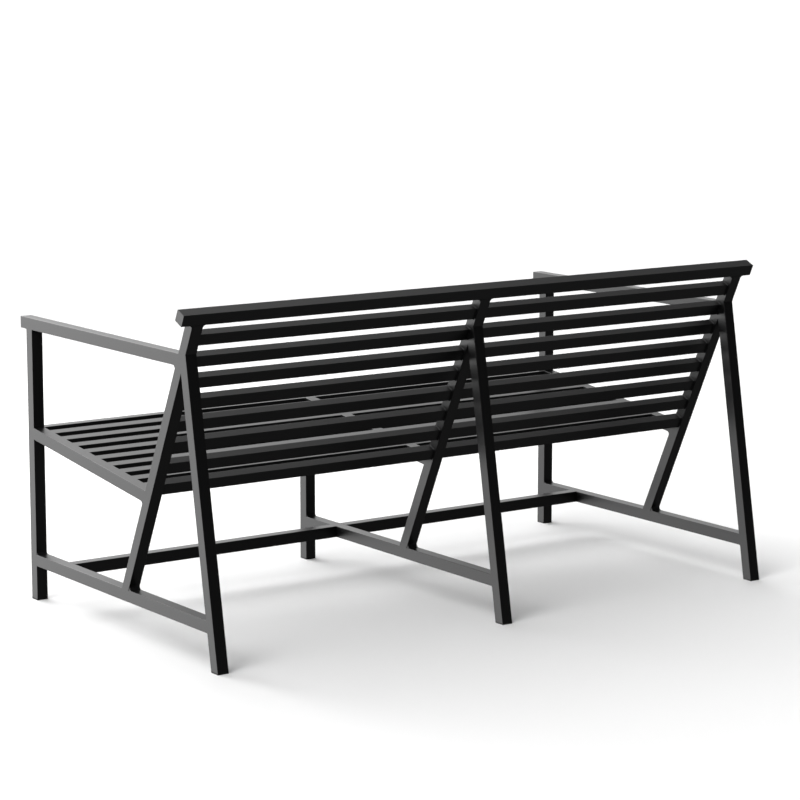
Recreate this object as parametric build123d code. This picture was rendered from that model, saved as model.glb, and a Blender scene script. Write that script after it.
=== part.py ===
from build123d import *
import os
from math import cos, radians, sin, tan

# Slatted lounge bench for two, welded up from square aluminium tube.
# X runs along the bench, the front looks along -Y and Z is up.
# The origin lies on the floor, in the middle of the length and of the depth.
# Side-view places are measured back from the front face of the front posts.

# Square tube of the frames, the top rail and the long stretchers
tube_side = 25.0
tube_wall = 2.0
tube_corner = 0.8

# Flat tube of the slats
slat_width = 25.0
slat_depth = 20.0
slat_wall = 1.5
slat_corner = 0.8
back_slat_count = 8
seat_slat_count = 10

# Length of the bench
frame_span = 1400.0
rail_overhang = 25.0

# Side view: heights above the floor and distances from the front
seat_height = 375.0
arm_height = 610.0
low_height = 100.0
arm_overhang = 25.0
stretcher_setback = 125.0
upright_setback = 422.0
upright_length = 628.0

# Side view: angles in degrees
seat_slope = 7.0
back_angle = 25.0
leg_splay = 10.0

# Tongues on the tube ends, which enter slots in the neighbour's wall
tongue_breadth = 12.0
slat_tongue_breadth = 10.0
slot_clearance = 0.2

# End plates, dressed weld fillets and foot glides
plate_thickness = 2.0
weld_radius = 7.0
small_weld_radius = 4.0
glide_thickness = 3.0
glide_plug_length = 12.0
glide_plug_wall = 2.0
glide_clearance = 0.2

# How far a cutting body runs past the wall that it opens
overrun = 1.0

# Directions
x_axis = Vector(1, 0, 0)
backward = Vector(0, 1, 0)
upward = Vector(0, 0, 1)
back_up = Vector(0, sin(radians(back_angle)), cos(radians(back_angle)))
back_out = Vector(0, cos(radians(back_angle)), -sin(radians(back_angle)))
seat_back = Vector(0, cos(radians(seat_slope)), -sin(radians(seat_slope)))
seat_up = Vector(0, sin(radians(seat_slope)), cos(radians(seat_slope)))
leg_up = Vector(0, -sin(radians(leg_splay)), cos(radians(leg_splay)))
leg_out = Vector(0, cos(radians(leg_splay)), sin(radians(leg_splay)))

# The back of the rear leg meets the back of the upright at the armrest's height
kink_rise = arm_height - low_height
kink_setback = upright_setback + kink_rise * tan(radians(back_angle))
leg_setback = kink_setback + arm_height * tan(radians(leg_splay))
depth_middle = (leg_setback - arm_overhang) / 2

# Bars are made longer than the whole bench and then cut to length
reach = frame_span + leg_setback

# Frames and bays along X
end_frame_x = (frame_span - tube_side) / 2
frame_places = {"left": end_frame_x, "middle": 0, "right": -end_frame_x}
bay_start = tube_side / 2
bay_end = frame_span / 2 - tube_side
bays = {"left": (bay_start, bay_end), "right": (-bay_end, -bay_start)}


def at(setback, height):
    """A point of the side view, in the middle of the bench's length."""
    return Vector(0, setback - depth_middle, height)


def meet(point_a, along_a, point_b, along_b):
    """The point where two lines of the side view cross."""
    step = point_b - point_a
    turn = along_a.Y * along_b.Z - along_a.Z * along_b.Y
    return point_a + along_a * ((step.Y * along_b.Z - step.Z * along_b.Y) / turn)


def above(body, face):
    """The stretch of a body that lies on the outer side of a face."""
    return split(body, bisect_by=face, keep=Keep.TOP)


def below(body, face):
    """The stretch of a body that lies on the inner side of a face."""
    return split(body, bisect_by=face, keep=Keep.BOTTOM)


class Bar:
    """A straight tube, given by its middle line and its two section directions."""

    def __init__(self, middle, along, across, width, depth, wall, corner, tongue):
        self.plane = Plane(origin=middle, x_dir=across, z_dir=along)
        self.width = width
        self.depth = depth
        self.wall = wall
        self.corner = corner
        self.tongue = tongue

    def outer(self):
        """The full section of the bar, solid and uncut."""
        section = RectangleRounded(self.width, self.depth, self.corner)
        return extrude(self.plane * section, amount=reach, both=True)

    def tube(self):
        """The hollow bar, uncut."""
        bore = Rectangle(self.width - 2 * self.wall, self.depth - 2 * self.wall)
        return self.outer() - extrude(self.plane * bore, amount=reach, both=True)

    def face(self, outward):
        """The outer face of the bar that looks along a direction."""
        half = self.depth / 2
        if abs(self.plane.x_dir.dot(outward)) > abs(self.plane.y_dir.dot(outward)):
            half = self.width / 2
        return Plane(origin=self.plane.origin + outward * half, z_dir=outward)

    def rods(self, on_width, clearance):
        """Two rods in line with opposite walls: tongues, or their slots with a clearance."""
        thickness = self.wall + 2 * clearance
        breadth = self.tongue + 2 * clearance
        offset = ((self.width if on_width else self.depth) - self.wall) / 2
        place = Pos(offset, 0) if on_width else Pos(0, offset)
        opposite = Pos(-offset, 0) if on_width else Pos(0, -offset)
        rod = Rectangle(thickness, breadth) if on_width else Rectangle(breadth, thickness)
        sketch = (place * rod) + (opposite * rod)
        return extrude(self.plane * sketch, amount=reach, both=True)

    def tongues(self, face, on_width=False):
        """Tongues that fill the wall behind a neighbour's face."""
        return above(below(self.rods(on_width, 0), face), face.offset(-tube_wall))

    def slots(self, face, on_width=False):
        """Cutting bodies for the slots that take this bar's tongues."""
        rods = self.rods(on_width, slot_clearance)
        return above(below(rods, face.offset(overrun)), face.offset(-tube_wall - overrun))


def frame_bar(x, middle, along):
    """A bar of frame tube in the side view at a place along the bench."""
    origin = middle + x_axis * x
    return Bar(origin, along, x_axis, tube_side, tube_side, tube_wall, tube_corner, tongue_breadth)


# Middle lines of the bars of a frame

def post_bar(x):
    return frame_bar(x, at(tube_side / 2, 0), upward)


def arm_bar(x):
    return frame_bar(x, at(0, arm_height - tube_side / 2), backward)


def seat_bar(x):
    return frame_bar(x, at(tube_side, seat_height) - seat_up * (tube_side / 2), seat_back)


def low_bar(x):
    return frame_bar(x, at(0, low_height - tube_side / 2), backward)


def upright_bar(x):
    return frame_bar(x, at(upright_setback, low_height) - back_out * (tube_side / 2), back_up)


def leg_bar(x):
    return frame_bar(x, at(kink_setback, arm_height) - leg_out * (tube_side / 2), leg_up)


def rail_face():
    """The underside of the top rail, square to the back uprights."""
    foot = at(upright_setback, low_height)
    return Plane(origin=foot + back_up * upright_length, z_dir=-back_up)


def seat_top_face():
    """The top of the middle front leg, level with the front edge of the seat."""
    return Plane(origin=at(0, seat_height), z_dir=-upward)


# Cross bars between the frames

class CrossBar(Bar):
    """A bar along X that fills one bay and has tongues at both ends."""

    def __init__(self, bay, middle, across, width, depth, wall, corner, tongue):
        start, end = bays[bay]
        super().__init__(middle, x_axis, across, width, depth, wall, corner, tongue)
        self.start = Plane(origin=x_axis * start, z_dir=-x_axis)
        self.end = Plane(origin=x_axis * end, z_dir=x_axis)

    def between_ends(self, body, extra):
        """The stretch of a body inside the bay, and a little past each end."""
        return below(below(body, self.start.offset(extra)), self.end.offset(extra))

    def plain(self):
        """The tube cut to the bay, with no tongues."""
        return self.between_ends(self.tube(), 0)

    def solid(self):
        """The tube with a pair of tongues at each end."""
        return self.plain() + self.between_ends(self.end_tongues(), tube_wall)

    def end_tongues(self):
        """The tongue rods without the stretch inside the tube's own walls."""
        rods = self.rods(True, 0)
        return above(rods, self.start) + above(rods, self.end)

    def end_slots(self):
        """Cutting bodies for the slots at both ends."""
        return self.between_ends(self.rods(True, slot_clearance), tube_wall + overrun)


def slat(bay, middle, across):
    """A slat of flat tube in one bay."""
    sizes = (slat_width, slat_depth, slat_wall, slat_corner, slat_tongue_breadth)
    return CrossBar(bay, middle, across, *sizes)


def seat_slats(bay):
    """A level slat in line with the front legs, then sloping slats with equal gaps."""
    post_top = at(tube_side, seat_height)
    front_edge = meet(at(slat_width, 0), upward, post_top, seat_back)
    back_edge = meet(upright_face_point(), back_up, post_top, seat_back)
    pitch = ((back_edge - front_edge).length + slat_width) / seat_slat_count
    second = front_edge + seat_back * (pitch - slat_width / 2) - seat_up * (slat_depth / 2)
    slats = [slat(bay, at(slat_width / 2, seat_height - slat_depth / 2), backward)]
    for i in range(seat_slat_count - 1):
        slats.append(slat(bay, second + seat_back * (pitch * i), seat_back))
    return slats


def back_slats(bay):
    """Back slats and gaps of equal pitch, from the top rail down to the seat."""
    post_top = at(tube_side, seat_height)
    bottom = meet(upright_face_point(), back_up, post_top, seat_back)
    top = meet(upright_face_point(), back_up, rail_face().origin, back_out)
    pitch = (top - bottom).length / back_slat_count
    last = bottom + back_up * (slat_width / 2) + back_out * (slat_depth / 2)
    steps = reversed(range(back_slat_count))
    return [slat(bay, last + back_up * (pitch * i), back_up) for i in steps]


def upright_face_point():
    """A point on the front face of the back uprights."""
    return at(upright_setback, low_height) - back_out * tube_side


def long_stretcher(bay):
    """The low bar that ties two frames together, behind the front legs."""
    middle = at(stretcher_setback + tube_side / 2, low_height - tube_side / 2)
    sizes = (tube_side, tube_side, tube_wall, tube_corner, tongue_breadth)
    return CrossBar(bay, middle, backward, *sizes)


def slots_of(cross_bars):
    """Cutting bodies for the slots of several cross bars."""
    return [bar.end_slots() for bar in cross_bars]


# The front seat slat is as wide as the legs. Its slots would cut through their corners, so it
# butts them with no tongues.
seat_slots = slots_of(seat_slats("left")[1:] + seat_slats("right")[1:])
back_slots = slots_of(back_slats("left") + back_slats("right"))
stretcher_slots = slots_of([long_stretcher("left"), long_stretcher("right")])
foot_face = Plane(origin=upward * glide_thickness, z_dir=upward)


# Frame pieces

def front_post(x):
    """A post of an end frame, from the floor up to the armrest."""
    bar = post_bar(x)
    arm_face = arm_bar(x).face(-upward)
    body = above(above(bar.tube(), foot_face), arm_face) + bar.tongues(arm_face)
    body -= seat_bar(x).slots(bar.face(backward))
    return body - low_bar(x).slots(bar.face(backward))


def middle_front_leg(x):
    """The short front leg of the middle frame, up to the plate that closes it."""
    bar = post_bar(x)
    body = above(above(bar.tube(), foot_face), seat_top_face().offset(plate_thickness))
    return body - low_bar(x).slots(bar.face(backward))


def armrest(x):
    """An armrest tube, over the post and up to the back upright."""
    bar = arm_bar(x)
    front = Plane(origin=at(plate_thickness - arm_overhang, 0), z_dir=backward)
    upright_face = upright_bar(x).face(-back_out)
    body = above(above(bar.tube(), front), upright_face) + bar.tongues(upright_face)
    return body - post_bar(x).slots(bar.face(-upward))


def seat_rail(x):
    """A seat rail of an end frame, between the post and the back upright."""
    bar = seat_bar(x)
    post_face = post_bar(x).face(backward)
    upright_face = upright_bar(x).face(-back_out)
    body = above(above(bar.tube(), post_face), upright_face)
    body += bar.tongues(post_face)
    body += bar.tongues(upright_face)
    return body - seat_slots


def middle_seat_rail(x):
    """The seat rail of the middle frame. It butts its front leg, where a tongue would meet the plate."""
    bar = seat_bar(x)
    leg_face = post_bar(x).face(backward)
    upright_face = upright_bar(x).face(-back_out)
    body = above(above(bar.tube(), leg_face), upright_face)
    return body + bar.tongues(upright_face) - seat_slots


def low_stretcher(x):
    """The level bar low in a frame, between the front post and the rear leg."""
    bar = low_bar(x)
    post_face = post_bar(x).face(backward)
    leg_face = leg_bar(x).face(-leg_out)
    body = above(above(bar.tube(), post_face), leg_face)
    body += bar.tongues(post_face)
    body += bar.tongues(leg_face)
    body -= upright_bar(x).slots(bar.face(upward))
    return body - stretcher_slots


def back_upright(x):
    """A leaning upright, from the low stretcher up to the top rail."""
    bar = upright_bar(x)
    low_face = low_bar(x).face(upward)
    body = above(above(bar.tube(), low_face), rail_face())
    body += bar.tongues(low_face)
    body += bar.tongues(rail_face(), on_width=True)
    body -= seat_bar(x).slots(bar.face(-back_out))
    body -= leg_bar(x).slots(bar.face(back_out))
    return body - back_slots


def end_back_upright(x):
    """A back upright that also takes the end of an armrest."""
    return back_upright(x) - arm_bar(x).slots(upright_bar(x).face(-back_out))


def rear_leg(x):
    """A splayed rear leg, from the floor up to the back of the upright."""
    bar = leg_bar(x)
    upright_face = upright_bar(x).face(back_out)
    body = above(above(bar.tube(), foot_face), upright_face) + bar.tongues(upright_face)
    return body - low_bar(x).slots(bar.face(-leg_out))


# Top rail and plates

def top_rail_bar():
    """The top rail's tube, flush with the front and back of the uprights."""
    underside = rail_face().origin - back_out * (tube_side / 2)
    middle = underside + back_up * (tube_side / 2)
    return Bar(middle, x_axis, back_out, tube_side, tube_side, tube_wall, tube_corner, tongue_breadth)


def along_x(body, start, end):
    """The stretch of a body between two places along X."""
    body = above(body, Plane(origin=x_axis * start, z_dir=x_axis))
    return below(body, Plane(origin=x_axis * end, z_dir=x_axis))


def top_rail():
    """One tube over all three frames, slotted for the uprights' tongues."""
    half = frame_span / 2 + rail_overhang - plate_thickness
    body = along_x(top_rail_bar().tube(), -half, half)
    for x in frame_places.values():
        body -= upright_bar(x).slots(rail_face(), on_width=True)
    return body


def top_rail_end_plates():
    """The welded plates that close the two ends of the top rail."""
    end = frame_span / 2 + rail_overhang
    start = end - plate_thickness
    outer = top_rail_bar().outer()
    return [along_x(outer, start, end), along_x(outer, -end, -start)]


def armrest_end_plates():
    """The welded plates that close the front ends of the armrests."""
    front = Plane(origin=at(-arm_overhang, 0), z_dir=backward)
    plates = []
    for x in (frame_places["left"], frame_places["right"]):
        plates.append(below(above(arm_bar(x).outer(), front), front.offset(plate_thickness)))
    return plates


def middle_leg_end_plate():
    """The welded plate that closes the top of the middle front leg, level with the seat."""
    outer = post_bar(frame_places["middle"]).outer()
    return below(above(outer, seat_top_face()), seat_top_face().offset(plate_thickness))


# Foot glides

def foot_glide(bar):
    """A plastic glide: a pad under the tube's end and a hollow plug inside it."""
    floor = Plane(origin=Vector(0, 0, 0), z_dir=upward)
    pad = below(above(bar.outer(), floor), foot_face)
    plug_side = tube_side - 2 * tube_wall - 2 * glide_clearance
    plug_bore = plug_side - 2 * glide_plug_wall
    ring = bar.plane * (Rectangle(plug_side, plug_side) - Rectangle(plug_bore, plug_bore))
    plug = extrude(ring, amount=reach, both=True)
    return pad + below(above(plug, foot_face), foot_face.offset(glide_plug_length))


def foot_glides():
    """Six glides, one under each leg."""
    bars = [post_bar(x) for x in frame_places.values()] + [leg_bar(x) for x in frame_places.values()]
    return [foot_glide(bar) for bar in bars]


# Dressed weld fillets that show in the inner corners of the frames

def weld(corner, along_a, along_b, radius):
    """A hollow-faced fillet between two faces that start at a corner."""
    half_angle = radians(along_a.get_angle(along_b)) / 2
    tangent = radius / tan(half_angle)
    centre = corner + (along_a + along_b).normalized() * (radius / sin(half_angle))
    start = corner + along_a * tangent
    end = corner + along_b * tangent
    crown = centre + (corner - centre).normalized() * radius
    outline = [Line(corner, start), ThreePointArc(start, crown, end), Line(end, corner)]
    normal = along_a.cross(along_b).normalized()
    face = make_face(outline)
    thickness = tube_side - 2 * tube_corner
    return extrude(face, amount=thickness / 2, dir=normal, both=True)


def frame_welds(x):
    """Fillets above and below the low stretcher of one frame."""
    shift = x_axis * x
    low_top = at(tube_side, low_height)
    low_underside = at(0, low_height - tube_side)
    leg_front = at(kink_setback, arm_height) - leg_out * tube_side
    leg_corner = meet(low_underside, backward, leg_front, leg_up)
    return [
        weld(low_top + shift, upward, backward, weld_radius),
        weld(at(upright_setback, low_height) + shift, back_up, backward, weld_radius),
        weld(leg_corner + shift, -backward, -leg_up, small_weld_radius),
    ]


def end_frame_welds(x):
    """Fillets under the armrest and the seat rail of an end frame."""
    shift = x_axis * x
    arm_underside = at(0, arm_height - tube_side)
    arm_corner = meet(arm_underside, backward, upright_face_point(), back_up)
    seat_underside = at(tube_side, seat_height) - seat_up * tube_side
    seat_corner = meet(seat_underside, seat_back, upright_face_point(), back_up)
    return [
        weld(arm_underside + shift, -backward, -upward, small_weld_radius),
        weld(arm_corner + shift, -backward, -back_up, weld_radius),
        weld(seat_corner + shift, -seat_back, -back_up, weld_radius),
    ]


def top_rail_welds(x):
    """Fillets under the top rail on both sides of one upright."""
    underside = rail_face().origin - back_out * (tube_side / 2)
    welds = []
    for side in (x_axis, -x_axis):
        corner = underside + x_axis * x + side * (tube_side / 2)
        welds.append(weld(corner, side, -back_up, weld_radius))
    return welds


def weld_fillets():
    """All dressed fillets, as separate solids."""
    welds = []
    for x in frame_places.values():
        welds += frame_welds(x) + top_rail_welds(x)
    return welds + end_frame_welds(frame_places["left"]) + end_frame_welds(frame_places["right"])


def all_parts():
    """Every node by name, each with its solid or its group of solids."""
    parts = {}
    for side in ("left", "right"):
        x = frame_places[side]
        parts[side + "_front_post"] = [front_post(x)]
        parts[side + "_armrest"] = [armrest(x)]
        parts[side + "_seat_rail"] = [seat_rail(x)]
        parts[side + "_low_stretcher"] = [low_stretcher(x)]
        parts[side + "_back_upright"] = [end_back_upright(x)]
        parts[side + "_rear_leg"] = [rear_leg(x)]
        parts[side + "_long_stretcher"] = [long_stretcher(side).solid()]
        for number, bar in enumerate(back_slats(side), start=1):
            parts[side + "_back_slat_" + str(number)] = [bar.solid()]
        for number, bar in enumerate(seat_slats(side), start=1):
            body = bar.solid() if number > 1 else bar.plain()
            parts[side + "_seat_slat_" + str(number)] = [body]
    x = frame_places["middle"]
    parts["middle_front_leg"] = [middle_front_leg(x)]
    parts["middle_seat_rail"] = [middle_seat_rail(x)]
    parts["middle_low_stretcher"] = [low_stretcher(x)]
    parts["middle_back_upright"] = [back_upright(x)]
    parts["middle_rear_leg"] = [rear_leg(x)]
    parts["top_rail"] = [top_rail()]
    parts["top_rail_end_plates"] = top_rail_end_plates()
    parts["armrest_end_plates"] = armrest_end_plates()
    parts["middle_leg_end_plate"] = [middle_leg_end_plate()]
    parts["foot_glides"] = foot_glides()
    parts["weld_fillets"] = weld_fillets()
    return parts


os.makedirs("parts", exist_ok=True)
for name, bodies in all_parts().items():
    solids = [solid for body in bodies for solid in body.solids()]
    export_step(Compound(children=solids), "parts/" + name + ".step")
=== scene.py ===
from math import cos, radians, sin

import bmesh
import bpy
from bpy.props import FloatProperty, FloatVectorProperty, PointerProperty
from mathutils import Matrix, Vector
from mathutils.geometry import convex_hull_2d


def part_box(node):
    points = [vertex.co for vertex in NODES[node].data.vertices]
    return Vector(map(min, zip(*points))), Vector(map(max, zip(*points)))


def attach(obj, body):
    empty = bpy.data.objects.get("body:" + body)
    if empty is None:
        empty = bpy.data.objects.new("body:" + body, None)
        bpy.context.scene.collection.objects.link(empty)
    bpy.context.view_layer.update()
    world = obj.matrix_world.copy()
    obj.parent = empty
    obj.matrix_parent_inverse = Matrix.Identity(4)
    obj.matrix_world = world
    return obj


bl_info = {
    "name": "Slatted lounge bench",
    "version": (1, 0, 0),
    "blender": (4, 5, 0),
    "location": "3D View > Sidebar > Lounge bench",
    "description": "Finishes the welded tube bench and sets it on a white studio floor",
    "category": "Object",
}

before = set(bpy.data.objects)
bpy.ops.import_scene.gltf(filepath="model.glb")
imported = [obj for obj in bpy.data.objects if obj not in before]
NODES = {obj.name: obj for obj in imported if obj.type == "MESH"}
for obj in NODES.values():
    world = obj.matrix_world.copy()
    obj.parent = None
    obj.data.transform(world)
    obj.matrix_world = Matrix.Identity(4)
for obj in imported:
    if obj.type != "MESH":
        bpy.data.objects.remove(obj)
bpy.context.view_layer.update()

SLATS = sorted(name for name in NODES if "slat" in name)
GLIDES = ["foot_glides"]
TUBES = sorted(set(NODES) - set(SLATS) - set(GLIDES))

# The sides on which the slats are flush with their frames. The front slats are also flush with
# the front of the legs.
LENGTHWISE = Vector((1, 0, 0))
FLUSH_SIDES = {"seat": Vector((0, 0, 1)), "back": Vector((0, -1, 0))}
FRONT_SLATS = ("left_seat_slat_1", "right_seat_slat_1")
# The end frames' and the middle frame's joints: the tube that ends there, and where its end lies
END_JOINTS = {
    "rear_leg": (Vector((0, 0, 1)),),
    "armrest": (Vector((0, 1, 0)),),
    "seat_rail": (Vector((0, 1, 0)), Vector((0, -1, 0))),
    "low_stretcher": (Vector((0, 1, 0)), Vector((0, -1, 0))),
    "back_upright": (Vector((0, 0, -1)),),
    "front_post": (Vector((0, 0, 1)),),
}
MIDDLE_JOINTS = {
    "rear_leg": (Vector((0, 0, 1)),),
    "seat_rail": (Vector((0, 1, 0)), Vector((0, -1, 0))),
    "low_stretcher": (Vector((0, 1, 0)), Vector((0, -1, 0))),
    "back_upright": (Vector((0, 0, -1)),),
}
FRAME_JOINTS = {"left": END_JOINTS, "middle": MIDDLE_JOINTS, "right": END_JOINTS}
# A slightly crowned bead, as shares of its reach along the slat and along the frame
BEAD_PROFILE = ((0, 1), (0.35, 0.85), (0.62, 0.62), (0.85, 0.35), (1, 0))
# The ways a bead faces, in degrees, on its walk down one side of a slat, under it and up again
LOW_SIDE = (180,)
LOW_CORNER = (180, 210, 240, 270)
UNDERSIDE = (270,)
HIGH_CORNER = (270, 300, 330, 360)
HIGH_SIDE = (360,)
# Points of a mesh that lie this close count as level, or as one where these decimal places agree
TOUCH = 0.000002
PLACES = 5

# The places in the studio that glow, as they are named in its settings
BRIGHT_PLACES = ("wall", "right", "window", "side", "back")

# Refractive indices of the powder coat, the glides' polyamide and the floor's emulsion
COAT_IOR = 1.5
POLYAMIDE_IOR = 1.53
EMULSION_IOR = 1.5
# How far the noise patterns go into finer detail, and how rough that detail is
WAVES = {"Detail": 1.0, "Roughness": 0.4}
GRAIN = {"Detail": 2.0, "Roughness": 0.6}
CLOUDS = {"Detail": 2.0}
ROLLER_MARKS = {"Detail": 1.0}

# The colour sockets of a Mix node, whose names are shared with its number sockets
COLOUR_A = 6
COLOUR_B = 7
COLOUR_RESULT = 2


def linear(hex_colour):
    """A colour written as sRGB hex, in the linear values that the shaders use."""
    values = [int(hex_colour[i:i + 2], 16) / 255 for i in (1, 3, 5)]
    return [v / 12.92 if v <= 0.04045 else ((v + 0.055) / 1.055) ** 2.4 for v in values]


def add_node(tree, kind, settings=(), values=(), links=()):
    """Adds a node to a tree, with its settings, its input values and its incoming links."""
    node = tree.nodes.new(kind)
    for name, value in dict(settings).items():
        setattr(node, name, value)
    for socket, value in dict(values).items():
        node.inputs[socket].default_value = value
    for socket, source in dict(links).items():
        tree.links.new(source, node.inputs[socket])
    return node


def empty_material(name):
    """A node material with nothing in it, and its tree."""
    material = bpy.data.materials.new(name)
    material.use_nodes = True
    material.node_tree.nodes.clear()
    return material, material.node_tree


class CoatSettings(bpy.types.PropertyGroup):
    """The black powder coat on the tubes."""

    colour: FloatVectorProperty(
        name="Colour", description="Colour of the coat", subtype="COLOR", size=3,
        min=0, max=1, default=linear("#0e0e0e"))
    drift_colour: FloatVectorProperty(
        name="Drift colour", description="Colour of the coat where the pigment drifts a little",
        subtype="COLOR", size=3, min=0, max=1, default=linear("#111112"))
    drift_pitch: FloatProperty(
        name="Drift pitch", description="Distance between the drifts in colour",
        subtype="DISTANCE", unit="LENGTH", min=0.001, default=0.09)
    roughness: FloatProperty(
        name="Roughness", description="Mean roughness of the baked coat",
        subtype="FACTOR", min=0, max=1, default=0.4)
    roughness_drift: FloatProperty(
        name="Roughness drift", description="How far the grain takes the roughness up and down",
        subtype="FACTOR", min=0, max=0.2, default=0.04)
    peel_pitch: FloatProperty(
        name="Orange peel pitch", description="Distance between the waves of the levelled powder",
        subtype="DISTANCE", unit="LENGTH", min=0.0001, default=0.003)
    peel_height: FloatProperty(
        name="Orange peel height", description="Height of the waves of the levelled powder",
        subtype="DISTANCE", unit="LENGTH", min=0, default=0.00004)
    grain_pitch: FloatProperty(
        name="Grain pitch", description="Distance between the grains of the coat",
        subtype="DISTANCE", unit="LENGTH", min=0.0001, default=0.0008)
    grain_height: FloatProperty(
        name="Grain height", description="Height of the grains of the coat",
        subtype="DISTANCE", unit="LENGTH", min=0, default=0.00002)


class GlideSettings(bpy.types.PropertyGroup):
    """The moulded glides under the legs."""

    colour: FloatVectorProperty(
        name="Colour", description="Colour of the plastic", subtype="COLOR", size=3,
        min=0, max=1, default=linear("#0c0c0c"))
    roughness: FloatProperty(
        name="Roughness", description="Mean roughness of the moulded plastic",
        subtype="FACTOR", min=0, max=1, default=0.65)
    roughness_drift: FloatProperty(
        name="Roughness drift", description="How far the texture takes the roughness up and down",
        subtype="FACTOR", min=0, max=0.2, default=0.05)
    spark_pitch: FloatProperty(
        name="Mould texture pitch", description="Distance between the pits of the mould's texture",
        subtype="DISTANCE", unit="LENGTH", min=0.0001, default=0.0006)
    spark_height: FloatProperty(
        name="Mould texture height", description="Depth of the pits of the mould's texture",
        subtype="DISTANCE", unit="LENGTH", min=0, default=0.00002)


class WeldSettings(bpy.types.PropertyGroup):
    """The welds that close the seams between the tubes."""

    tube_corner: FloatProperty(
        name="Tube corner", description="Radius of the long corners of the tubes, which a weld fills",
        subtype="DISTANCE", unit="LENGTH", min=0.0001, default=0.0008)
    bead_leg: FloatProperty(
        name="Bead leg", description="How far a bead reaches along each of its two tubes",
        subtype="DISTANCE", unit="LENGTH", min=0.0001, default=0.0015)
    bead_root: FloatProperty(
        name="Bead root", description="How deep a bead has melted into the tubes",
        subtype="DISTANCE", unit="LENGTH", min=0.0001, default=0.0003)


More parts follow.
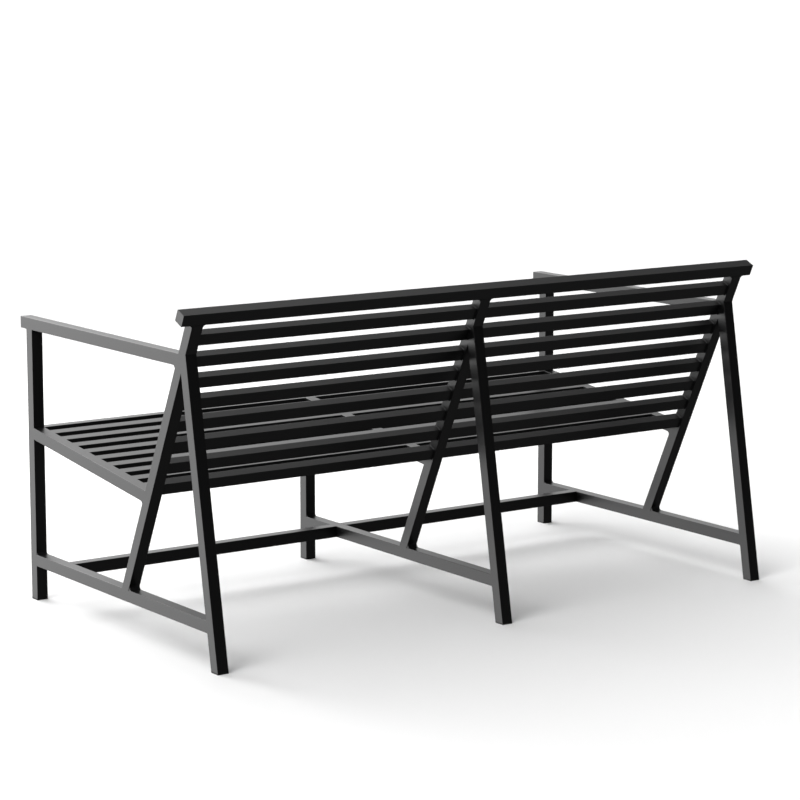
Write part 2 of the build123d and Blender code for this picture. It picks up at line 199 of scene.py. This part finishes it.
class StudioSettings(bpy.types.PropertyGroup):
    """The white floor and the soft lights."""

    floor_colour: FloatVectorProperty(
        name="Floor colour", description="Colour of the painted floor", subtype="COLOR", size=3,
        min=0, max=1, default=linear("#f2f2f2"))
    floor_side: FloatProperty(
        name="Floor side", description="Side of the square floor",
        subtype="DISTANCE", unit="LENGTH", min=1, default=400)
    floor_roughness: FloatProperty(
        name="Floor roughness", description="Mean roughness of the painted floor",
        subtype="FACTOR", min=0, max=1, default=0.9)
    floor_drift: FloatProperty(
        name="Floor roughness drift", description="How far the roller's marks take it up and down",
        subtype="FACTOR", min=0, max=0.1, default=0.05)
    roller_pitch: FloatProperty(
        name="Roller pitch", description="Distance between the roller's marks in the paint",
        subtype="DISTANCE", unit="LENGTH", min=0.001, default=0.02)
    wall_glow: FloatProperty(
        name="Front wall", description="Brightness of the lit wall in front of the left end",
        min=0, default=3.4)
    wall_turn: FloatProperty(
        name="Front wall turn", description="Turn of its middle from the front to the bench's left",
        subtype="ANGLE", unit="ROTATION", default=radians(27))
    wall_rise: FloatProperty(
        name="Front wall rise", description="Rise of its middle above the horizon",
        subtype="ANGLE", unit="ROTATION", default=radians(0))
    wall_focus: FloatProperty(
        name="Front wall focus", description="How fast it fades away from its middle",
        min=0.1, default=8)
    right_glow: FloatProperty(
        name="Right wall", description="Brightness of the lit wall in front of the right end",
        min=0, default=1.5)
    right_turn: FloatProperty(
        name="Right wall turn", description="Turn of its middle from the front to the bench's left",
        subtype="ANGLE", unit="ROTATION", default=radians(-40))
    right_rise: FloatProperty(
        name="Right wall rise", description="Rise of its middle above the horizon",
        subtype="ANGLE", unit="ROTATION", default=radians(5))
    right_focus: FloatProperty(
        name="Right wall focus", description="How fast it fades away from its middle",
        min=0.1, default=20)
    window_glow: FloatProperty(
        name="Window", description="Brightness of the window high in front of the bench",
        min=0, default=4.8)
    window_turn: FloatProperty(
        name="Window turn", description="Turn of its middle from the front to the bench's left",
        subtype="ANGLE", unit="ROTATION", default=radians(-5))
    window_rise: FloatProperty(
        name="Window rise", description="Rise of its middle above the horizon",
        subtype="ANGLE", unit="ROTATION", default=radians(39))
    window_focus: FloatProperty(
        name="Window focus", description="How fast it fades away from its middle",
        min=0.1, default=13)
    side_glow: FloatProperty(
        name="Side window", description="Brightness of the window high beside the left end",
        min=0, default=6.4)
    side_turn: FloatProperty(
        name="Side window turn", description="Turn of its middle from the front to the bench's left",
        subtype="ANGLE", unit="ROTATION", default=radians(108))
    side_rise: FloatProperty(
        name="Side window rise", description="Rise of its middle above the horizon",
        subtype="ANGLE", unit="ROTATION", default=radians(42))
    side_focus: FloatProperty(
        name="Side window focus", description="How fast it fades away from its middle",
        min=0.1, default=13)
    back_glow: FloatProperty(
        name="Back floor", description="Brightness of the lit floor behind the right end",
        min=0, default=0.25)
    back_turn: FloatProperty(
        name="Back floor turn", description="Turn of its middle from the front to the bench's left",
        subtype="ANGLE", unit="ROTATION", default=radians(-140))
    back_rise: FloatProperty(
        name="Back floor rise", description="Rise of its middle above the horizon",
        subtype="ANGLE", unit="ROTATION", default=radians(-33))
    back_focus: FloatProperty(
        name="Back floor focus", description="How fast it fades away from its middle",
        min=0.1, default=13)
    ambient: FloatProperty(
        name="Room", description="Brightness of the rest of the room",
        min=0, default=0.02)
    softbox_power: FloatProperty(
        name="Softbox", description="Power of the softbox in front of the bench",
        subtype="POWER", unit="POWER", min=0, default=60)
    softbox_turn: FloatProperty(
        name="Softbox turn", description="Turn of the softbox from the front to the bench's left",
        subtype="ANGLE", unit="ROTATION", default=radians(15))
    softbox_rise: FloatProperty(
        name="Softbox rise", description="Rise of the softbox above the point it faces",
        subtype="ANGLE", unit="ROTATION", default=radians(25))
    softbox_distance: FloatProperty(
        name="Softbox distance", description="Distance of the softbox from the point it faces",
        subtype="DISTANCE", unit="LENGTH", min=0.1, default=3.5)
    softbox_width: FloatProperty(
        name="Softbox width", description="Width of the softbox",
        subtype="DISTANCE", unit="LENGTH", min=0.1, default=2.5)
    softbox_height: FloatProperty(
        name="Softbox height", description="Height of the softbox",
        subtype="DISTANCE", unit="LENGTH", min=0.1, default=2)
    softbox_aim: FloatVectorProperty(
        name="Softbox aim", description="The point that the softbox faces",
        subtype="TRANSLATION", unit="LENGTH", size=3, default=(0, 0, 0.3))
    sensor: FloatProperty(
        name="Sensor", description="Width of the camera's sensor", subtype="DISTANCE_CAMERA",
        min=1, default=36)
    lens: FloatProperty(
        name="Lens", description="Focal length of the camera", subtype="DISTANCE_CAMERA",
        min=1, default=123.03)
    camera_place: FloatVectorProperty(
        name="Camera place", description="Place of the camera, as solved from the photo",
        subtype="TRANSLATION", unit="LENGTH", size=3, default=(3.34379, 4.77347, 1.39210))
    camera_turn: FloatVectorProperty(
        name="Camera turn", description="Turn of the camera, as solved from the photo",
        subtype="EULER", unit="ROTATION", size=3,
        default=(radians(80.4944), radians(-0.03), radians(144.9478)))


def powder_coat(name, coat):
    """Black polyester powder coat, sprayed on dry and baked.

    The eye gets a deep, even black with a satin sheen that spreads wide at low angles, a faint
    orange peel where the melted powder levelled, and a fine grain that breaks up the gloss. Both
    patterns have their real pitch, so that from the camera they only soften the sheen.
    """
    material, tree = empty_material(name)
    place = add_node(tree, "ShaderNodeTexCoord").outputs["Object"]
    peel = add_node(
        tree, "ShaderNodeTexNoise", links={"Vector": place},
        values={"Scale": 1 / coat.peel_pitch, **WAVES})
    grain = add_node(
        tree, "ShaderNodeTexNoise", links={"Vector": place},
        values={"Scale": 1 / coat.grain_pitch, **GRAIN})
    drift = add_node(
        tree, "ShaderNodeTexNoise", links={"Vector": place},
        values={"Scale": 1 / coat.drift_pitch, **CLOUDS})
    peel_bump = add_node(
        tree, "ShaderNodeBump", values={"Distance": coat.peel_height},
        links={"Height": peel.outputs["Fac"]})
    grain_bump = add_node(
        tree, "ShaderNodeBump", values={"Distance": coat.grain_height},
        links={"Height": grain.outputs["Fac"], "Normal": peel_bump.outputs["Normal"]})
    gloss = add_node(
        tree, "ShaderNodeMapRange", links={"Value": grain.outputs["Fac"]},
        values={
            "To Min": coat.roughness - coat.roughness_drift,
            "To Max": coat.roughness + coat.roughness_drift,
        })
    colour = add_node(
        tree, "ShaderNodeMix", settings={"data_type": "RGBA"},
        values={COLOUR_A: (*coat.colour, 1), COLOUR_B: (*coat.drift_colour, 1)},
        links={"Factor": drift.outputs["Fac"]})
    surface = add_node(
        tree, "ShaderNodeBsdfPrincipled", values={"IOR": COAT_IOR},
        links={
            "Base Color": colour.outputs[COLOUR_RESULT],
            "Roughness": gloss.outputs["Result"],
            "Normal": grain_bump.outputs["Normal"],
        })
    add_node(tree, "ShaderNodeOutputMaterial", links={"Surface": surface.outputs["BSDF"]})
    return material


def moulded_plastic(name, glide):
    """Black polyamide, injection moulded against a spark-eroded tool.

    The eye gets a dull black, a little duller than the coat above it, with a fine even texture.
    """
    material, tree = empty_material(name)
    place = add_node(tree, "ShaderNodeTexCoord").outputs["Object"]
    spark = add_node(
        tree, "ShaderNodeTexNoise", links={"Vector": place},
        values={"Scale": 1 / glide.spark_pitch, **CLOUDS})
    bump = add_node(
        tree, "ShaderNodeBump", values={"Distance": glide.spark_height},
        links={"Height": spark.outputs["Fac"]})
    gloss = add_node(
        tree, "ShaderNodeMapRange", links={"Value": spark.outputs["Fac"]},
        values={
            "To Min": glide.roughness - glide.roughness_drift,
            "To Max": glide.roughness + glide.roughness_drift,
        })
    surface = add_node(
        tree, "ShaderNodeBsdfPrincipled",
        values={"Base Color": (*glide.colour, 1), "IOR": POLYAMIDE_IOR},
        links={"Roughness": gloss.outputs["Result"], "Normal": bump.outputs["Normal"]})
    add_node(tree, "ShaderNodeOutputMaterial", links={"Surface": surface.outputs["BSDF"]})
    return material


def floor_paint(name, studio):
    """Matt white emulsion on a studio floor, which the eye reads as plain white."""
    material, tree = empty_material(name)
    place = add_node(tree, "ShaderNodeTexCoord").outputs["Object"]
    roller = add_node(
        tree, "ShaderNodeTexNoise", links={"Vector": place},
        values={"Scale": 1 / studio.roller_pitch, **ROLLER_MARKS})
    gloss = add_node(
        tree, "ShaderNodeMapRange", links={"Value": roller.outputs["Fac"]},
        values={
            "To Min": studio.floor_roughness - studio.floor_drift,
            "To Max": studio.floor_roughness + studio.floor_drift,
        })
    surface = add_node(
        tree, "ShaderNodeBsdfPrincipled",
        values={"Base Color": (*studio.floor_colour, 1), "IOR": EMULSION_IOR},
        links={"Roughness": gloss.outputs["Result"]})
    add_node(tree, "ShaderNodeOutputMaterial", links={"Surface": surface.outputs["BSDF"]})
    return material


def finish(names, material):
    """Gives CAD nodes one material, in place of what they came with."""
    for name in names:
        mesh = NODES[name].data
        mesh.materials.clear()
        mesh.materials.append(material)


def skin(rings):
    """Points and faces of a small solid that runs through equal rings of points."""
    count = len(rings[0])
    points = [point for ring in rings for point in ring]
    last = len(points) - count
    faces = [range(count), range(last, last + count)]
    for start in range(0, last, count):
        for i in range(count):
            j = (i + 1) % count
            faces.append((start + i, start + j, start + count + j, start + count + i))
    return points, faces


def add_welds(name, solids, material):
    """A piece made of many small solids, coated and carried like the frame."""
    form = bmesh.new()
    for points, faces in solids:
        corners = [form.verts.new(point) for point in points]
        for face in faces:
            form.faces.new([corners[i] for i in face])
    bmesh.ops.recalc_face_normals(form, faces=form.faces)
    mesh = bpy.data.meshes.new(name)
    form.to_mesh(mesh)
    form.free()
    mesh.materials.append(material)
    piece = bpy.data.objects.new(name, mesh)
    bpy.context.scene.collection.objects.link(piece)
    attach(piece, "root")


def largest_face(name, side):
    """Which way the large flat face on one side of a tube looks."""
    faces = NODES[name].data.polygons
    return max(faces, key=lambda face: face.area * face.normal.dot(side)).normal.copy()


def reach(name, way):
    """How far a tube reaches in one direction."""
    return max(corner.co.dot(way) for corner in NODES[name].data.vertices)


def end_edge(name, outward, toward):
    """The two corners of a tube's outward face at the end that lies in one direction."""
    side = outward.cross(toward)
    level = reach(name, outward) - TOUCH
    corners = [v.co for v in NODES[name].data.vertices if v.co.dot(outward) > level]
    points = list({corner.to_tuple(PLACES): corner for corner in corners}.values())
    ring = [points[i] for i in convex_hull_2d([(p.dot(side), p.dot(toward)) for p in points])]
    edges = zip(ring, ring[1:] + ring[:1])
    return max(edges, key=lambda edge: (edge[0] + edge[1]).dot(toward))


def ground_seam(start, end, outward, toward, weld):
    """A weld that is ground flush, in the groove beside the neighbour's rounded corner."""
    across = (end - start).normalized()
    onward = outward.cross(across)
    onward *= weld.tube_corner if onward.dot(toward) > 0 else -weld.tube_corner
    inward = outward * -weld.tube_corner
    return skin([(point, point + onward, point + inward) for point in (start, end)])


def slat_section(name):
    """The flush direction of a slat, the direction across it, and its four outer sides."""
    flush = largest_face(name, FLUSH_SIDES[name.split("_")[1]])
    across = flush.cross(LENGTHWISE)
    sides = (reach(name, flush), -reach(name, -flush), -reach(name, -across), reach(name, across))
    return flush, across, sides


def slat_bead(section, place, outward, weld, is_front):
    """A bead round one end of a slat, on the sides that stand back from the frame."""
    flush, across, (top, bottom, low, high) = section
    corner = weld.tube_corner
    walk = [(low, top, LOW_SIDE), (low, bottom, LOW_CORNER)]
    if is_front:
        walk = [(low, bottom, UNDERSIDE)]
    walk += [(high, bottom, HIGH_CORNER), (high, top, HIGH_SIDE)]
    rings = []
    for wide, deep, turns in walk:
        inset = Vector((corner if wide == low else -corner, corner if deep == bottom else -corner))
        for turn in turns:
            away = across * cos(radians(turn)) + flush * sin(radians(turn))
            foot = across * (wide + inset.x) + flush * (deep + inset.y) + LENGTHWISE * place
            foot += away * corner
            ring = []
            for along_slat, along_frame in BEAD_PROFILE:
                ring.append(
                    foot + outward * (along_slat * weld.bead_leg) + away * (along_frame * weld.bead_leg))
            ring.append(foot - (outward + away) * weld.bead_root)
            rings.append(ring)
    return skin(rings)


def slat_welds(name, place, outward, weld):
    """The bead and the ground seams at one end of a slat."""
    section = slat_section(name)
    flush, across, (top, bottom, low, high) = section
    is_front = name in FRONT_SLATS
    middle = LENGTHWISE * place + flush * top
    start = middle + across * (low + weld.tube_corner)
    end = middle + across * (high - weld.tube_corner)
    seams = [ground_seam(start, end, flush, -outward, weld)]
    if is_front:
        middle = LENGTHWISE * place + across * low
        start = middle + flush * (bottom + weld.tube_corner)
        end = middle + flush * (top - weld.tube_corner)
        seams.append(ground_seam(start, end, -across, -outward, weld))
    return slat_bead(section, place, outward, weld, is_front), seams


def frame_seams(weld):
    """The ground seams on both sides of every joint within the frames."""
    seams = []
    for side, joints in FRAME_JOINTS.items():
        for tube, ends in joints.items():
            for toward in ends:
                for outward in (LENGTHWISE, -LENGTHWISE):
                    edge = end_edge(f"{side}_{tube}", outward, toward)
                    seams.append(ground_seam(*edge, outward, toward, weld))
    return seams


def bay_ends():
    """Where the slats of each bay start and end, on the inner faces of its two frames."""
    boxes = [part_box(f"{side}_back_upright") for side in ("right", "middle", "left")]
    (_, right_end), (middle_start, middle_end), (left_start, _) = boxes
    return {"left": (middle_end.x, left_start.x), "right": (right_end.x, middle_start.x)}


def heading(turn, rise):
    """A direction that starts at the front and is turned to the bench's left and raised."""
    level = cos(rise)
    return Vector((level * sin(turn), -level * cos(turn), sin(rise)))


def glow(tree, way, brightest, strength, focus):
    """Light that is strongest from one direction and fades away from it on all sides."""
    facing = add_node(
        tree, "ShaderNodeVectorMath", settings={"operation": "DOT_PRODUCT"},
        values={1: brightest}, links={0: way})
    away = add_node(
        tree, "ShaderNodeMath", settings={"operation": "MULTIPLY_ADD"},
        values={1: focus, 2: -focus}, links={0: facing.outputs["Value"]})
    fade = add_node(
        tree, "ShaderNodeMath", settings={"operation": "EXPONENT"},
        links={0: away.outputs["Value"]})
    return add_node(
        tree, "ShaderNodeMath", settings={"operation": "MULTIPLY"},
        values={1: strength}, links={0: fade.outputs["Value"]}).outputs["Value"]


def soft_room(name, studio):
    """A room with soft bright places all round the bench, and white where it is seen."""
    world = bpy.data.worlds.new(name)
    world.use_nodes = True
    tree = world.node_tree
    tree.nodes.clear()
    way = add_node(tree, "ShaderNodeTexCoord").outputs["Generated"]
    lights = []
    for place in BRIGHT_PLACES:
        turn, rise, strength, focus = (
            getattr(studio, f"{place}_{setting}") for setting in ("turn", "rise", "glow", "focus"))
        lights.append(glow(tree, way, heading(turn, rise), strength, focus))
    total = lights[0]
    for light in lights[1:]:
        total = add_node(
            tree, "ShaderNodeMath", settings={"operation": "ADD"},
            links={0: total, 1: light}).outputs["Value"]
    light = add_node(
        tree, "ShaderNodeMath", settings={"operation": "ADD"},
        values={1: studio.ambient}, links={0: total})
    seen = add_node(tree, "ShaderNodeLightPath").outputs["Is Camera Ray"]
    strength = add_node(
        tree, "ShaderNodeMix", settings={"data_type": "FLOAT"},
        values={"B": 1}, links={"Factor": seen, "A": light.outputs["Value"]})
    background = add_node(
        tree, "ShaderNodeBackground", values={"Color": (1, 1, 1, 1)},
        links={"Strength": strength.outputs["Result"]})
    add_node(tree, "ShaderNodeOutputWorld", links={"Surface": background.outputs["Background"]})
    return world


def soft_light(name, place, aim, width, height, power):
    """A rectangular softbox at a place, turned to face a point."""
    data = bpy.data.lights.new(name, "AREA")
    data.shape = "RECTANGLE"
    data.size = width
    data.size_y = height
    data.energy = power
    light = bpy.data.objects.new(name, data)
    light.location = place
    light.rotation_euler = (aim - place).to_track_quat("-Z", "Y").to_euler()
    bpy.context.scene.collection.objects.link(light)


class BENCH_OT_coat_tubes(bpy.types.Operator):
    """Coat the tubes of the frames, the top rail, the long stretchers, the plates and the fillets"""

    bl_idname = "bench.coat_tubes"
    bl_label = "Coat the frames"

    def execute(self, context):
        finish(TUBES, powder_coat("powder_coat_frames", context.scene.bench_coat))
        return {"FINISHED"}


class BENCH_OT_coat_slats(bpy.types.Operator):
    """Coat the seat slats and the back slats"""

    bl_idname = "bench.coat_slats"
    bl_label = "Coat the slats"

    def execute(self, context):
        finish(SLATS, powder_coat("powder_coat_slats", context.scene.bench_coat))
        return {"FINISHED"}


class BENCH_OT_weld_joints(bpy.types.Operator):
    """Run the beads round the slats and fill the seams that are ground flush"""

    bl_idname = "bench.weld_joints"
    bl_label = "Weld the joints"

    def execute(self, context):
        weld = context.scene.bench_welds
        coat = powder_coat("powder_coat_welds", context.scene.bench_coat)
        ends = bay_ends()
        beads = []
        seams = []
        for name in SLATS:
            side = name.split("_")[0]
            for place, outward in zip(ends[side], (LENGTHWISE, -LENGTHWISE)):
                bead, slat_seams = slat_welds(name, place, outward, weld)
                beads.append(bead)
                seams += slat_seams
        add_welds("slat_weld_beads", beads, coat)
        add_welds("ground_weld_seams", seams + frame_seams(weld), coat)
        return {"FINISHED"}


class BENCH_OT_mould_glides(bpy.types.Operator):
    """Give the foot glides their moulded plastic"""

    bl_idname = "bench.mould_glides"
    bl_label = "Mould the glides"

    def execute(self, context):
        finish(GLIDES, moulded_plastic("polyamide_glides", context.scene.bench_glides))
        return {"FINISHED"}


class BENCH_OT_set_studio(bpy.types.Operator):
    """Lay the floor and hang the soft lights"""

    bl_idname = "bench.set_studio"
    bl_label = "Set the studio"

    def execute(self, context):
        studio = context.scene.bench_studio
        bpy.ops.mesh.primitive_plane_add(size=studio.floor_side)
        floor = context.active_object
        floor.name = "studio_floor"
        floor.data.materials.append(floor_paint("floor_emulsion", studio))
        # The white ground only takes the shadows. It is not mirrored in the tubes, does not light
        # them, and lets the light from below the horizon through to them.
        floor.visible_diffuse = False
        floor.visible_glossy = False
        floor.visible_shadow = False
        context.scene.world = soft_room("soft_room", studio)
        aim = Vector(studio.softbox_aim)
        away = heading(studio.softbox_turn, studio.softbox_rise) * studio.softbox_distance
        soft_light(
            "front_softbox", aim + away, aim,
            studio.softbox_width, studio.softbox_height, studio.softbox_power)
        context.scene.view_settings.view_transform = "Standard"
        return {"FINISHED"}


class BENCH_OT_place_camera(bpy.types.Operator):
    """Place the camera behind the bench and above its left end"""

    bl_idname = "bench.place_camera"
    bl_label = "Place the camera"

    def execute(self, context):
        studio = context.scene.bench_studio
        data = bpy.data.cameras.new("camera")
        data.sensor_width = studio.sensor
        data.lens = studio.lens
        camera = bpy.data.objects.new("camera", data)
        camera.location = studio.camera_place
        camera.rotation_euler = studio.camera_turn
        context.scene.collection.objects.link(camera)
        context.scene.camera = camera
        return {"FINISHED"}


class BENCH_PT_panel(bpy.types.Panel):
    """The bench's settings and steps"""

    bl_idname = "BENCH_PT_panel"
    bl_label = "Lounge bench"
    bl_space_type = "VIEW_3D"
    bl_region_type = "UI"
    bl_category = "Lounge bench"

    def draw(self, context):
        for group, steps in GROUPS.items():
            box = self.layout.box()
            settings = getattr(context.scene, group)
            for name in settings.__annotations__:
                box.prop(settings, name)
            for step in steps:
                box.operator(step.bl_idname)


GROUPS = {
    "bench_coat": (BENCH_OT_coat_tubes, BENCH_OT_coat_slats),
    "bench_welds": (BENCH_OT_weld_joints,),
    "bench_glides": (BENCH_OT_mould_glides,),
    "bench_studio": (BENCH_OT_set_studio, BENCH_OT_place_camera),
}
SETTINGS = {
    "bench_coat": CoatSettings,
    "bench_welds": WeldSettings,
    "bench_glides": GlideSettings,
    "bench_studio": StudioSettings,
}
STEPS = [step for steps in GROUPS.values() for step in steps]
CLASSES = [*SETTINGS.values(), *STEPS, BENCH_PT_panel]


def register():
    for cls in CLASSES:
        bpy.utils.register_class(cls)
    for group, cls in SETTINGS.items():
        setattr(bpy.types.Scene, group, PointerProperty(type=cls))


def unregister():
    for group in SETTINGS:
        delattr(bpy.types.Scene, group)
    for cls in reversed(CLASSES):
        bpy.utils.unregister_class(cls)


def main():
    register()
    bpy.ops.bench.coat_tubes()
    bpy.ops.bench.coat_slats()
    bpy.ops.bench.weld_joints()
    bpy.ops.bench.mould_glides()
    bpy.ops.bench.set_studio()
    bpy.ops.bench.place_camera()


if __name__ == "__main__":
    main()
